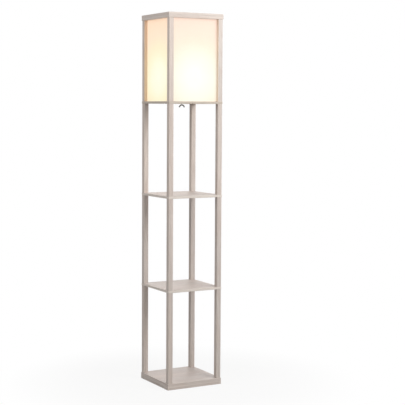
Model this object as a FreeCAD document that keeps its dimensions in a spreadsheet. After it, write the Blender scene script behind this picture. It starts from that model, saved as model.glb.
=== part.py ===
import FreeCAD, Part
import math
import os
import Sketcher

# Shelf floor lamp: four corner posts in four lengths, a base, two shelves, a shade box of
# fabric panels held in grooved posts under a mitred cap, and inside it a lamp holder on a hat
# bracket that straddles a pull switch. Millimetres, +Z up, origin on the floor under the axis.

SIZES = {
    # overall
    "post_span": 256.0,
    "base_overhang": 2.0,
    "shelf_overhang": 1.0,
    "edge_chamfer": 0.8,
    # base
    "pad_thick": 2.0,
    "pad_radius": 9.0,
    "pad_inset": 42.0,
    "strip_thick": 12.0,
    "strip_width": 40.0,
    "base_thick": 15.0,
    # posts
    "post_side": 21.0,
    "low_length": 390.5,
    "mid_length": 390.5,
    "high_length": 390.5,
    "shade_length": 349.5,
    "seat_depth": 0.5,
    "seat_gap": 0.1,
    # boards between the posts
    "shelf_thick": 10.0,
    "floor_thick": 10.0,
    "floor_rail": 36.0,
    # cap
    "cap_thick": 22.0,
    "cap_width": 25.0,
    # fabric panels
    "panel_thick": 1.2,
    "panel_inset": 15.0,
    "groove_depth": 4.0,
    "groove_gap": 0.3,
    # fasteners in the frame
    "stud_radius": 3.0,
    "stud_reach": 25.0,
    "hole_gap": 0.2,
    "dowel_radius": 4.0,
    "dowel_reach": 14.0,
    "screw_radius": 3.5,
    "screw_reach": 32.0,
    "screw_head_radius": 5.0,
    "screw_head_thick": 3.0,
    "counterbore_deep": 5.0,
    # crossbar
    "bar_thick": 2.0,
    "bar_width": 24.0,
    "bar_overlap": 11.0,
    "bar_corner": 3.0,
    "bar_screw_radius": 1.75,
    "bar_screw_length": 9.5,
    "pan_radius": 3.4,
    "pan_thick": 1.8,
    "pan_bevel": 0.8,
    # hat bracket
    "hat_clear": 38.0,
    "hat_rise": 25.5,
    "hat_sheet": 1.5,
    "hat_foot": 13.0,
    "foot_hole_out": 1.0,
    "hat_width": 20.0,
    "hat_bend": 2.0,
    # nipple and its nuts
    "nipple_radius": 5.0,
    "nipple_bore": 3.6,
    "nipple_below": 6.0,
    "nipple_above": 8.0,
    "nut_flats": 14.0,
    "nut_thick": 3.0,
    "thread_gap": 0.1,
    # lamp holder
    "holder_radius": 20.5,
    "holder_wall": 2.0,
    "cup_height": 15.0,
    "cup_bevel": 7.0,
    "cup_ledge": 4.5,
    "shell_height": 34.0,
    "shell_gap": 0.3,
    "core_thick": 9.0,
    "core_well_floor": 6.75,
    "screw_shell_wall": 0.5,
    "screw_shell_height": 23.0,
    "screw_shell_flange": 1.0,
    "contact_width": 5.0,
    "contact_sheet": 0.5,
    "contact_length": 11.0,
    "contact_rise": 2.4,
    "contact_tip": 2.75,
    # bulb
    "bulb_cap_radius": 13.2,
    "bulb_cap_height": 21.0,
    "bulb_gap": 0.3,
    "tip_radius": 5.0,
    "tip_ledge": 1.2,
    "tip_bevel": 1.5,
    "tip_thick": 2.5,
    "tip_lift": 0.3,
    "neck_radius": 13.9,
    "rim_height": 1.5,
    "body_height": 38.0,
    "body_radius": 26.5,
    "globe_radius": 30.0,
    "globe_wall": 1.5,
    # pull switch
    "switch_left": 17.0,
    "switch_right": 9.0,
    "switch_width": 16.0,
    "switch_height": 17.0,
    "switch_wall": 2.0,
    "cover_thick": 1.5,
    "neck_tube_radius": 4.75,
    "neck_tube_bore": 1.9,
    "neck_flange_radius": 5.7,
    "neck_flange_thick": 1.0,
    "neck_tube_below": 8.0,
    "mouth_bevel": 1.2,
    "arm_pivot_offset": 9.0,
    "arm_pivot_height": 6.7,
    "arm_thick": 2.0,
    "arm_width": 6.0,
    "arm_tip": 12.0,
    "arm_tail": 5.4,
    "arm_boss_radius": 2.0,
    "arm_rest_angle": 19.5,
    "fork_slot": 1.6,
    "pin_radius": 1.0,
    "pin_gap": 0.05,
    "spring_radius": 1.3,
    "spring_wire": 0.3,
    "spring_gap": 0.3,
    "blade_sheet": 0.6,
    "blade_lean": 1.2,
    "blade_width": 3.0,
    "blade_height": 9.0,
    # bead chain and handle
    "middle_beads": 7,
    "bead_radius": 1.3,
    "bead_pitch": 3.4,
    "top_link": 6.6,
    "ball_link": 5.6,
    "bead_link_radius": 0.45,
    "bead_bevel": 0.6,
    "bead_above_arm": 3.0,
    "handle_radius": 12.0,
    "handle_section": 2.8,
    "handle_bevel": 1.6,
    "ball_seat": 1.0,
    "socket_gap": 0.35,
    "socket_waist": 1.1,
    "socket_flare": 2.0,
    "flare_from_bar": 2.5,
    "socket_reach": 4.2,
    # cord inlet
    "grommet_radius": 4.5,
    "grommet_flange": 1.5,
    "grommet_bore": 3.2,
    "grommet_lip": 1.2,
    "grommet_from_opening": 1.0,
    "grommet_from_post": 3.0,
}

os.makedirs("parts", exist_ok=True)
doc = FreeCAD.newDocument("shelf_floor_lamp")
sheet = doc.addObject("Spreadsheet::Sheet", "sizes")
for row, (alias, number) in enumerate(SIZES.items(), start=1):
    sheet.set("A%d" % row, alias.replace("_", " "))
    sheet.set("B%d" % row, str(number))
    sheet.setAlias("B%d" % row, alias)
doc.recompute()

V = FreeCAD.Vector
UP = V(0, 0, 1)
subparts = []


class Size:
    """A length that knows its number and the sheet expression that gives it."""

    def __init__(self, number, words):
        self.number = float(number)
        self.words = words

    def __add__(self, other):
        other = as_size(other)
        return Size(self.number + other.number, "(%s + %s)" % (self.words, other.words))

    def __sub__(self, other):
        other = as_size(other)
        return Size(self.number - other.number, "(%s - %s)" % (self.words, other.words))

    def __mul__(self, other):
        other = as_size(other)
        return Size(self.number * other.number, "(%s * %s)" % (self.words, other.words))

    def __truediv__(self, other):
        other = as_size(other)
        return Size(self.number / other.number, "(%s / %s)" % (self.words, other.words))

    def __neg__(self):
        return self * -1

    def __radd__(self, other):
        return as_size(other) + self

    def __rsub__(self, other):
        return as_size(other) - self

    def __rmul__(self, other):
        return as_size(other) * self


def as_size(value):
    """A plain number as a Size."""
    return value if isinstance(value, Size) else Size(value, "(%.9g)" % value)


def size(alias):
    """The sheet's cell of that name."""
    return Size(sheet.get(alias), "sizes." + alias)


def bind(thing, prop, value):
    """Tie a property to the sheet."""
    value = as_size(value)
    thing.setExpression(prop, value.words)


# ---- heights, worked out once from the sheet -------------------------------------------------
base_side = size("post_span") + size("base_overhang") * 2
shelf_side = size("post_span") + size("shelf_overhang") * 2
post_side = size("post_side")
post_centre = (size("post_span") - post_side) / 2
strip_bottom = size("pad_thick")
base_bottom = strip_bottom + size("strip_thick")
base_top = base_bottom + size("base_thick")
lower_shelf_bottom = base_top - size("seat_depth") + size("low_length")
lower_shelf_top = lower_shelf_bottom + size("shelf_thick")
upper_shelf_bottom = lower_shelf_top - size("seat_depth") + size("mid_length")
upper_shelf_top = upper_shelf_bottom + size("shelf_thick")
floor_bottom = upper_shelf_top - size("seat_depth") + size("high_length")
floor_top = floor_bottom + size("floor_thick")
cap_bottom = floor_top - size("seat_depth") + size("shade_length")
bar_top = floor_top + size("bar_thick")
hat_top = bar_top + size("hat_rise") + size("hat_sheet")
cup_top = hat_top + size("cup_height")
core_top = cup_top - size("cup_ledge") + size("core_thick")
panel_centre = size("post_span") / 2 - size("panel_inset") - size("panel_thick") / 2
groove_width = size("panel_thick") + size("groove_gap") * 2
opening_half = shelf_side / 2 - size("floor_rail")

bar_half = opening_half + size("bar_overlap")
bar_screw_spot = opening_half + size("bar_overlap") / 2
hat_half = size("hat_clear") / 2
foot_spot = hat_half + size("hat_sheet") + size("hat_foot") / 2 + size("foot_hole_out")
grommet_reach = size("grommet_radius") + size("grommet_flange")
inlet_x = post_centre - post_side / 2 - size("grommet_from_post") - grommet_reach
inlet_y = opening_half + size("grommet_from_opening") + grommet_reach
bulb_tip_bottom = (core_top - size("core_thick") + size("core_well_floor")
                   + size("contact_rise") + size("tip_lift"))
bulb_body_bottom = bulb_tip_bottom + size("tip_thick") + size("bulb_cap_height")
globe_bottom = bulb_body_bottom + size("body_height")

# Corners and sides in order, each a quarter turn on from the one before.
QUARTER_TURN = 90
CORNERS = {"back_right": (1, 1), "back_left": (-1, 1), "front_left": (-1, -1),
           "front_right": (1, -1)}
SIDES = ("front", "right", "back", "left")
# Flats that stand for a round: few on what is hidden or comes many times over.
HEX_SIDES = 6
HIDDEN_SIDES = 8
BEAD_SIDES = 8
HEAD_SIDES = 12
TURNED_SIDES = 24
# The handle's straight runs, and how far it reaches to each side of its crown, in degrees.
RING_STEPS = 12
HALF_SWEEP = 82.0
# The globe's bevels as shares of its radius: the second halves the angle of the first.
FIRST_BEVEL = 0.586
SECOND_BEVEL = 0.215


# ---- building tools ---------------------------------------------------------------------------
def new_body(label):
    """An empty body that will be the sub-part of that name."""
    body = doc.addObject("PartDesign::Body", label)
    body.Label = label
    body.AllowCompound = True
    subparts.append(body)
    return body


def origin_part(body, role):
    """One of a body's own origin planes or axes."""
    for feature in body.Origin.OriginFeatures:
        if feature.Role == role:
            return feature


def new_sketch(body, plane="XY_Plane", height=0.0):
    """A sketch on one of the body's planes, raised by a height."""
    sketch = body.newObject("Sketcher::SketchObject", body.Name + "_sketch")
    sketch.AttachmentSupport = (origin_part(body, plane), [""])
    sketch.MapMode = "FlatFace"
    bind(sketch, "AttachmentOffset.Base.z", height)
    return sketch


def pin_point(sketch, piece, end, x, y):
    """Hold a point of the sketch at x, y."""
    for kind, value, axis in (("DistanceX", as_size(x), -2), ("DistanceY", as_size(y), -1)):
        if value.number == 0.0:
            sketch.addConstraint(Sketcher.Constraint("PointOnObject", piece, end, axis))
            continue
        index = sketch.addConstraint(Sketcher.Constraint(kind, -1, 1, piece, end, value.number))
        sketch.setExpression("Constraints[%d]" % index, value.words)


def pin_centre(sketch, piece, start, end, centre):
    """Hold an arc's centre along the direction that its two ends leave free."""
    along_x = abs(end[1] - start[1]) >= abs(end[0] - start[0])
    value = as_size(centre[0] if along_x else centre[1])
    if value.number == 0.0:
        axis = -2 if along_x else -1
        sketch.addConstraint(Sketcher.Constraint("PointOnObject", piece, 3, axis))
        return
    kind = "DistanceX" if along_x else "DistanceY"
    index = sketch.addConstraint(Sketcher.Constraint(kind, -1, 1, piece, 3, value.number))
    sketch.setExpression("Constraints[%d]" % index, value.words)


def outline(sketch, points):
    """A closed outline. A point is (x, y), or (x, y, centre x, centre y, turn) where an arc
    leaves it, with turn 1 for anticlockwise and -1 for clockwise."""
    count = len(points)
    spots = [(as_size(p[0]).number, as_size(p[1]).number) for p in points]
    first = sketch.GeometryCount
    starts = []
    for i, point in enumerate(points):
        a = spots[i]
        b = spots[(i + 1) % count]
        if len(point) == 2:
            sketch.addGeometry(Part.LineSegment(V(a[0], a[1], 0), V(b[0], b[1], 0)), False)
            starts.append(1)
            continue
        cx, cy = as_size(point[2]).number, as_size(point[3]).number
        if point[4] < 0:
            a, b = b, a
        begin = math.atan2(a[1] - cy, a[0] - cx)
        finish = math.atan2(b[1] - cy, b[0] - cx)
        if finish <= begin:
            finish += 2 * math.pi
        circle = Part.Circle(V(cx, cy, 0), UP, math.hypot(a[0] - cx, a[1] - cy))
        sketch.addGeometry(Part.ArcOfCircle(circle, begin, finish), False)
        starts.append(1 if point[4] > 0 else 2)
    for i in range(count):
        after = (i + 1) % count
        link = Sketcher.Constraint("Coincident", first + i, 3 - starts[i],
                                   first + after, starts[after])
        sketch.addConstraint(link)
    for i, point in enumerate(points):
        pin_point(sketch, first + i, starts[i], point[0], point[1])
        if len(point) > 2:
            pin_centre(sketch, first + i, spots[i], spots[(i + 1) % count], point[2:4])


def box_outline(sketch, x0, y0, x1, y1):
    """A rectangle between two corners."""
    outline(sketch, [(x0, y0), (x1, y0), (x1, y1), (x0, y1)])


def square(sketch, side):
    """A square round the sketch's origin."""
    box_outline(sketch, -side / 2, -side / 2, side / 2, side / 2)


def circle(sketch, radius, x=0.0, y=0.0):
    """A circle with its centre at x, y."""
    radius = as_size(radius)
    spot = V(as_size(x).number, as_size(y).number, 0)
    index = sketch.addGeometry(Part.Circle(spot, UP, radius.number), False)
    pin_point(sketch, index, 3, x, y)
    held = sketch.addConstraint(Sketcher.Constraint("Radius", index, radius.number))
    sketch.setExpression("Constraints[%d]" % held, radius.words)


def leg(slope, side):
    """The other short side of a right triangle."""
    return Size(math.sqrt(slope.number ** 2 - side.number ** 2),
                "sqrt(%s * %s - %s * %s)" % (slope.words, slope.words, side.words, side.words))


def facets(x, y, radius, start, finish, steps):
    """Points round an arc that is made of straight runs; angles in degrees."""
    spots = []
    for step in range(steps + 1):
        angle = math.radians(start + (finish - start) * step / steps)
        spots.append((x + radius * round(math.cos(angle), 9),
                      y + radius * round(math.sin(angle), 9)))
    return spots


def polygon(sketch, sides, reach, x=0.0, y=0.0):
    """A regular polygon whose corners lie at a distance from its centre."""
    outline(sketch, facets(x, y, reach, 0.0, 360.0, sides)[:-1])


def corner_bores(sketch, reach, sides=HIDDEN_SIDES):
    """A stud, screw or dowel, or its bore, over each post."""
    for sign_x, sign_y in CORNERS.values():
        polygon(sketch, sides, reach, post_centre * sign_x, post_centre * sign_y)


def pad(body, sketch, length, midplane=False):
    """Add the sketch's outline over a length along the sketch's normal."""
    feature = body.newObject("PartDesign::Pad", body.Name + "_pad")
    feature.Profile = sketch
    bind(feature, "Length", length)
    feature.Midplane = midplane
    doc.recompute()
    return feature


def pocket(body, sketch, depth, upward=False, through=False):
    """Cut the sketch's outline, downwards from the sketch unless it says upward."""
    before = body.Shape.Volume
    feature = body.newObject("PartDesign::Pocket", body.Name + "_pocket")
    feature.Profile = sketch
    feature.Reversed = upward
    feature.Midplane = through
    bind(feature, "Length", depth)
    doc.recompute()
    if not body.Shape.Volume < before - 1e-6:
        raise RuntimeError(body.Label + ": a pocket cut nothing")
    return feature


def revolve(body, sketch, angle=360.0):
    """Turn the sketch's outline round the sketch's vertical axis."""
    feature = body.newObject("PartDesign::Revolution", body.Name + "_revolution")
    feature.Profile = sketch
    feature.ReferenceAxis = (sketch, ["V_Axis"])
    feature.Angle = angle
    doc.recompute()
    return feature


def prism(body, sides, reach, bottom, length):
    """Add a flat-sided round, so long, up from a height."""
    sketch = new_sketch(body, height=bottom)
    polygon(sketch, sides, reach)
    pad(body, sketch, length)


def bore_down(body, sides, reach, top, depth):
    """Cut a flat-sided bore, so deep, down from a height."""
    sketch = new_sketch(body, height=top)
    polygon(sketch, sides, reach)
    pocket(body, sketch, depth)


def bevel(body, height, amount):
    """Bevel the level edges at a height."""
    return dress(body, "Chamfer", amount,
                 lambda middle, edge: abs(middle.z - height.number) < 0.001
                 and not runs_along(edge, UP))


def dress(body, kind, amount, wanted):
    """Chamfer or Fillet of the edges whose middle and direction the test accepts."""
    base = body.Tip
    names = []
    for index, edge in enumerate(base.Shape.Edges, start=1):
        middle = edge.valueAt((edge.FirstParameter + edge.LastParameter) / 2)
        if wanted(middle, edge):
            names.append("Edge%d" % index)
    feature = body.newObject("PartDesign::" + kind, body.Name + "_" + kind.lower())
    feature.Base = (base, names)
    bind(feature, "Size" if kind == "Chamfer" else "Radius", amount)
    doc.recompute()
    return feature


def runs_along(edge, axis):
    """Whether a straight edge lies along an axis."""
    if not isinstance(edge.Curve, (Part.Line, Part.LineSegment)):
        return False
    return abs(edge.tangentAt(edge.FirstParameter).dot(axis)) > 0.999


def place(body, x=0.0, y=0.0, z=0.0, turn=0.0, axis=UP):
    """Put a body where it belongs, turned about an axis."""
    body.Placement = FreeCAD.Placement(V(0, 0, 0), FreeCAD.Rotation(axis, turn))
    bind(body, "Placement.Base.x", x)
    bind(body, "Placement.Base.y", y)
    bind(body, "Placement.Base.z", z)


# ---- base -------------------------------------------------------------------------------------
def felt_pads():
    """Four round felt pads, set in from the corners so that the base screws stay free."""
    body = new_body("felt_pads")
    sketch = new_sketch(body)
    spot = base_side / 2 - size("pad_inset")
    edge = base_side / 2 - size("strip_width") / 2
    for sign_x, sign_y in CORNERS.values():
        circle(sketch, size("pad_radius"), spot * sign_x, edge * sign_y)
    pad(body, sketch, size("pad_thick"))


def base_strips():
    """The strips that double the base board's edge: the front and back ones run full width."""
    half = base_side / 2
    width = size("strip_width")
    for index, side in enumerate(SIDES):
        body = new_body("base_strip_" + side)
        sketch = new_sketch(body)
        full = side in ("front", "back")
        reach = half if full else half - width
        box_outline(sketch, -reach, -half, reach, -half + width)
        pad(body, sketch, size("strip_thick"))
        dress(body, "Chamfer", size("edge_chamfer"),
              lambda middle, edge: middle.y < -half.number + 0.01 and middle.z < 0.01)
        if full:
            bores = new_sketch(body, height=size("strip_thick"))
            recess = new_sketch(body)
            for sign in (-1, 1):
                polygon(bores, HIDDEN_SIDES, size("screw_radius") + size("hole_gap"),
                        post_centre * sign, -post_centre)
                circle(recess, size("screw_head_radius") + size("hole_gap") * 2,
                       post_centre * sign, -post_centre)
            pocket(body, bores, size("strip_thick"))
            pocket(body, recess, size("counterbore_deep"), upward=True)
        place(body, z=strip_bottom, turn=index * QUARTER_TURN)


def base_board():
    """The base board, with a clearance hole under each post."""
    body = new_body("base_board")
    sketch = new_sketch(body)
    square(sketch, base_side)
    pad(body, sketch, size("base_thick"))
    dress(body, "Chamfer", size("edge_chamfer"),
          lambda middle, edge: middle.z > size("base_thick").number - 0.01
          or runs_along(edge, UP))
    holes = new_sketch(body, height=size("base_thick"))
    corner_bores(holes, size("screw_radius") + size("hole_gap"))
    pocket(body, holes, size("base_thick"))
    post_seats(body, base_side / 2, size("base_thick"))
    place(body, z=base_bottom)


def post_seats(body, half, thick):
    """A shallow seat at each corner of a board's top, which keeps the post on it from turning."""
    near = post_centre - post_side / 2 - size("seat_gap")
    far = half + size("edge_chamfer")
    seats = new_sketch(body, height=thick)
    for sign_x, sign_y in CORNERS.values():
        box_outline(seats, near * sign_x, near * sign_y, far * sign_x, far * sign_y)
    pocket(body, seats, size("seat_depth"))


def base_screws():
    """The hex screws that hold the base to the lowest posts, heads in the counterbores."""
    body = new_body("base_screws")
    heads = new_sketch(body)
    corner_bores(heads, size("screw_head_radius"), sides=HEX_SIDES)
    pad(body, heads, size("screw_head_thick"))
    shanks = new_sketch(body, height=size("screw_head_thick"))
    corner_bores(shanks, size("screw_radius"))
    through = size("strip_thick") - size("counterbore_deep") + size("base_thick")
    pad(body, shanks, through + size("screw_reach"))
    place(body, z=strip_bottom + size("counterbore_deep") - size("screw_head_thick"))


# ---- posts ------------------------------------------------------------------------------------
def post_profile(sketch, grooved):
    """A square with chamfered corners; the shade posts have a groove in each inner face."""
    half = post_side / 2
    cut = size("edge_chamfer")
    if not grooved:
        outline(sketch, [(-half + cut, -half), (half - cut, -half), (half, -half + cut),
                         (half, half - cut), (half - cut, half), (-half + cut, half),
                         (-half, half - cut), (-half, -half + cut)])
        return
    low = panel_centre - groove_width / 2 - post_centre
    high = panel_centre + groove_width / 2 - post_centre
    floor = -half + size("groove_depth")
    outline(sketch, [(-half + cut, -half), (low, -half), (low, floor), (high, floor),
                     (high, -half), (half - cut, -half), (half, -half + cut),
                     (half, half - cut), (half - cut, half), (-half + cut, half),
                     (-half, half - cut), (-half, high), (floor, high), (floor, low),
                     (-half, low), (-half, -half + cut)])


def end_bore(body, height, radius, depth, upward):
    """A blind bore into one end of a post."""
    sketch = new_sketch(body, height=height)
    polygon(sketch, HIDDEN_SIDES, radius)
    pocket(body, sketch, depth, upward=upward)


def post(label, corner, bottom, length, foot, head, grooved=False):
    """One length of post, with a bore in each end for what joins it."""
    sign_x, sign_y = CORNERS[corner]
    body = new_body(label + "_" + corner)
    sketch = new_sketch(body)
    post_profile(sketch, grooved)
    pad(body, sketch, length)
    for height, bore, upward in ((0.0, foot, True), (length, head, False)):
        end_bore(body, height, bore[0], bore[1], upward)
    turn = list(CORNERS).index(corner) * QUARTER_TURN
    place(body, post_centre * sign_x, post_centre * sign_y, bottom - size("seat_depth"), turn)


def posts():
    """Four lengths at each corner."""
    gap = size("hole_gap")
    seat = size("seat_depth")
    foot = (size("stud_radius") + gap, size("stud_reach") + seat + gap)
    head = (size("stud_radius") + gap, size("stud_reach") + gap)
    screw = (size("screw_radius") + gap, size("screw_reach") + seat + gap)
    dowel = (size("dowel_radius") + gap, size("dowel_reach") + gap)
    for corner in CORNERS:
        post("post_low", corner, base_top, size("low_length"), screw, head)
        post("post_mid", corner, lower_shelf_top, size("mid_length"), foot, head)
        post("post_high", corner, upper_shelf_top, size("high_length"), foot, head)
        post("post_shade", corner, floor_top, size("shade_length"), foot, dowel, grooved=True)


def post_studs():
    """The threaded studs that pass through each board's corners into the posts each side."""
    body = new_body("post_studs")
    reach = size("stud_reach")
    levels = ((lower_shelf_bottom, size("shelf_thick")), (upper_shelf_bottom, size("shelf_thick")),
              (floor_bottom, size("floor_thick")))
    for bottom, thick in levels:
        sketch = new_sketch(body, height=bottom - reach)
        corner_bores(sketch, size("stud_radius"))
        pad(body, sketch, thick + reach * 2)
    place(body)


# ---- boards -----------------------------------------------------------------------------------
def corner_board(label, bottom, thick):
    """A square board between two lengths of post, drilled at its corners."""
    body = new_body(label)
    sketch = new_sketch(body)
    square(sketch, shelf_side)
    pad(body, sketch, thick)
    dress(body, "Chamfer", size("edge_chamfer"), lambda middle, edge: True)
    holes = new_sketch(body, height=thick)
    corner_bores(holes, size("stud_radius") + size("hole_gap"))
    pocket(body, holes, thick)
    post_seats(body, shelf_side / 2, thick)
    place(body, z=bottom)
    return body


def shade_floor_frame():
    """The board under the shade: a square opening, crossbar screw bores and the cord's hole."""
    body = corner_board("shade_floor_frame", floor_bottom, size("floor_thick"))
    opening = new_sketch(body, height=size("floor_thick"))
    square(opening, opening_half * 2)
    pocket(body, opening, size("floor_thick"))
    bores = new_sketch(body, height=size("floor_thick"))
    for sign in (-1, 1):
        polygon(bores, HIDDEN_SIDES, size("bar_screw_radius") + size("hole_gap"),
                bar_screw_spot * sign)
    pocket(body, bores, size("bar_screw_length") - size("bar_thick") + size("hole_gap"))
    inlet = new_sketch(body, height=size("floor_thick"))
    circle(inlet, size("grommet_radius") + size("hole_gap"), inlet_x, inlet_y)
    pocket(body, inlet, size("floor_thick"))


def cord_grommet():
    """The rubber bush in the frame's back rail, where a mains lead would come in."""
    body = new_body("cord_grommet")
    outer = size("grommet_radius")
    lip = size("grommet_lip")
    thick = size("floor_thick")
    flange = outer + size("grommet_flange")
    bore = size("grommet_bore")
    prism(body, TURNED_SIDES, outer, 0.0, thick)
    prism(body, TURNED_SIDES, flange, -lip, lip)
    prism(body, TURNED_SIDES, flange, thick, lip)
    sketch = new_sketch(body, height=-lip)
    circle(sketch, bore)
    pocket(body, sketch, thick + lip * 2, upward=True)
    place(body, inlet_x, inlet_y, floor_bottom)


# ---- cap --------------------------------------------------------------------------------------
def cap_rails():
    """Four rails mitred at the corners; the dowel bores straddle the mitres."""
    half = base_side / 2
    inner = half - size("cap_width")
    for index, side in enumerate(SIDES):
        body = new_body("cap_rail_" + side)
        sketch = new_sketch(body)
        outline(sketch, [(-half, -half), (half, -half), (inner, -inner), (-inner, -inner)])
        pad(body, sketch, size("cap_thick"))
        dress(body, "Chamfer", size("edge_chamfer"),
              lambda middle, edge: runs_along(edge, V(1, 0, 0)))
        bores = new_sketch(body)
        for sign in (-1, 1):
            polygon(bores, HIDDEN_SIDES, size("dowel_radius") + size("hole_gap"),
                    post_centre * sign, -post_centre)
        pocket(body, bores, size("dowel_reach") + size("hole_gap"), upward=True)
        place(body, z=cap_bottom, turn=index * QUARTER_TURN)


def cap_dowels():
    """The four dowels between shade posts and cap."""
    body = new_body("cap_dowels")
    sketch = new_sketch(body)
    corner_bores(sketch, size("dowel_radius"))
    pad(body, sketch, size("dowel_reach") * 2)
    place(body, z=cap_bottom - size("dowel_reach"))


# ---- shade ------------------------------------------------------------------------------------
def shade_panels():
    """Four stiffened fabric panels that slide down in the posts' grooves."""
    reach = post_centre - post_side / 2 + size("groove_depth") - size("groove_gap")
    half = size("panel_thick") / 2
    for index, side in enumerate(SIDES):
        body = new_body("shade_panel_" + side)
        sketch = new_sketch(body)
        box_outline(sketch, -reach, -panel_centre - half, reach, -panel_centre + half)
        pad(body, sketch, size("shade_length") - size("seat_depth") - size("groove_gap"))
        place(body, z=floor_top, turn=index * QUARTER_TURN)


# ---- crossbar and hat bracket -----------------------------------------------------------------
def crossbar():
    """A flat steel bar over the frame's opening, which carries switch and lamp holder."""
    body = new_body("crossbar")
    sketch = new_sketch(body)
    half = size("bar_width") / 2
    box_outline(sketch, -bar_half, -half, bar_half, half)
    circle(sketch, size("neck_tube_radius") + size("thread_gap"))
    for sign in (-1, 1):
        polygon(sketch, HIDDEN_SIDES, size("bar_screw_radius") + size("hole_gap"),
                bar_screw_spot * sign)
        polygon(sketch, HIDDEN_SIDES, size("bar_screw_radius") + size("thread_gap"),
                foot_spot * sign)
    pad(body, sketch, size("bar_thick"))
    dress(body, "Chamfer", size("bar_corner"),
          lambda middle, edge: runs_along(edge, UP) and abs(abs(middle.x) - bar_half.number) < 0.01)
    place(body, z=floor_top)


def bar_screws():
    """Four like pan-head screws: two hold the bar to the frame, two the bracket to the bar."""
    body = new_body("bar_screws")
    length = size("bar_screw_length")
    for face, spot in ((bar_top, bar_screw_spot), (bar_top + size("hat_sheet"), foot_spot)):
        for sign in (-1, 1):
            shank = new_sketch(body, height=face - length)
            polygon(shank, HIDDEN_SIDES, size("bar_screw_radius"), spot * sign)
            pad(body, shank, length)
            head = new_sketch(body, height=face)
            polygon(head, HEAD_SIDES, size("pan_radius"), spot * sign)
            pad(body, head, size("pan_thick"))
    dress(body, "Chamfer", size("pan_bevel"), screw_head_rim)
    place(body)


def screw_head_rim(middle, edge):
    """The upper rim of a screw head on the bar or on a bracket foot."""
    rims = [bar_top + size("pan_thick"), bar_top + size("hat_sheet") + size("pan_thick")]
    return min(abs(middle.z - rim.number) for rim in rims) < 0.01


def hat_bracket():
    """Sheet steel bent to a hat: two feet on the bar and a top plate over the switch."""
    body = new_body("hat_bracket")
    sketch = new_sketch(body, "XZ_Plane")
    sheet_thick = size("hat_sheet")
    rise = size("hat_rise")
    out = hat_half + sheet_thick
    far = out + size("hat_foot")
    outline(sketch, [(-far, 0.0), (-hat_half, 0.0), (-hat_half, rise), (hat_half, rise),
                     (hat_half, 0.0), (far, 0.0), (far, sheet_thick), (out, sheet_thick),
                     (out, rise + sheet_thick), (-out, rise + sheet_thick),
                     (-out, sheet_thick), (-far, sheet_thick)])
    pad(body, sketch, size("hat_width"), midplane=True)
    inner_bend = size("hat_bend")
    dress(body, "Fillet", inner_bend + sheet_thick, hat_outer_bend)
    dress(body, "Fillet", inner_bend, hat_inner_bend)
    top_hole = new_sketch(body, height=rise + sheet_thick)
    circle(top_hole, size("nipple_radius") + size("thread_gap"))
    pocket(body, top_hole, sheet_thick)
    foot_holes = new_sketch(body, height=sheet_thick)
    for sign in (-1, 1):
        polygon(foot_holes, HIDDEN_SIDES, size("bar_screw_radius") + size("thread_gap"),
                foot_spot * sign)
    pocket(body, foot_holes, sheet_thick)
    place(body, z=bar_top)


def hat_outer_bend(middle, edge):
    """The outer edge of each of the four bends."""
    out = (hat_half + size("hat_sheet")).number
    top = (size("hat_rise") + size("hat_sheet")).number
    if not runs_along(edge, V(0, 1, 0)):
        return False
    at_top = abs(abs(middle.x) - out) < 0.01 and abs(middle.z - top) < 0.01
    at_foot = abs(abs(middle.x) - hat_half.number) < 0.01 and abs(middle.z) < 0.01
    return at_top or at_foot


def hat_inner_bend(middle, edge):
    """The inner edge of each of the four bends."""
    out = (hat_half + size("hat_sheet")).number
    rise = size("hat_rise").number
    low = size("hat_sheet").number
    if not runs_along(edge, V(0, 1, 0)):
        return False
    at_top = abs(abs(middle.x) - hat_half.number) < 0.01 and abs(middle.z - rise) < 0.01
    at_foot = abs(abs(middle.x) - out) < 0.01 and abs(middle.z - low) < 0.01
    return at_top or at_foot


def hex_nuts(label, bottoms, bore_radius):
    """Thin hexagon nuts on the axis."""
    body = new_body(label)
    for bottom in bottoms:
        sketch = new_sketch(body, height=bottom)
        polygon(sketch, HEX_SIDES, size("nut_flats") / math.sqrt(3.0))
        circle(sketch, bore_radius + size("thread_gap"))
        pad(body, sketch, size("nut_thick"))
    place(body)


def holder_nipple():
    """The threaded tube that holds the lamp holder on the hat bracket."""
    body = new_body("holder_nipple")
    sketch = new_sketch(body)
    circle(sketch, size("nipple_radius"))
    circle(sketch, size("nipple_bore"))
    pad(body, sketch, size("nipple_below") + size("hat_sheet") + size("nipple_above"))
    place(body, z=hat_top - size("hat_sheet") - size("nipple_below"))


# ---- lamp holder ------------------------------------------------------------------------------
def holder_cup():
    """The cup under the holder: a bevelled bowl with a flat foot and a ledge inside its rim."""
    body = new_body("holder_cup")
    wall = size("holder_wall")
    outer = size("holder_radius")
    high = size("cup_height")
    slope = size("cup_bevel")
    prism(body, TURNED_SIDES, outer, 0.0, high)
    bevel(body, as_size(0.0), slope)
    ledge = high - size("cup_ledge")
    bore_down(body, TURNED_SIDES, outer - wall, high, size("cup_ledge"))
    bore_down(body, TURNED_SIDES, outer - wall * 2, ledge, ledge - slope)
    bore_down(body, TURNED_SIDES, outer - slope, slope, slope - wall * 2)
    bore_down(body, TURNED_SIDES, size("nipple_radius") + size("thread_gap") * 2,
              wall * 2, wall * 2)
    place(body, z=hat_top)


def holder_core():
    """The ceramic disc on the cup's ledge, with a well in its top for the centre contact."""
    body = new_body("holder_core")
    thick = size("core_thick")
    prism(body, TURNED_SIDES, size("holder_radius") - size("holder_wall") - size("shell_gap"),
          0.0, thick)
    bore_down(body, TURNED_SIDES, size("bulb_cap_radius") + size("bulb_gap"), thick,
              thick - size("core_well_floor"))
    place(body, z=cup_top - size("cup_ledge"))


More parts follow.
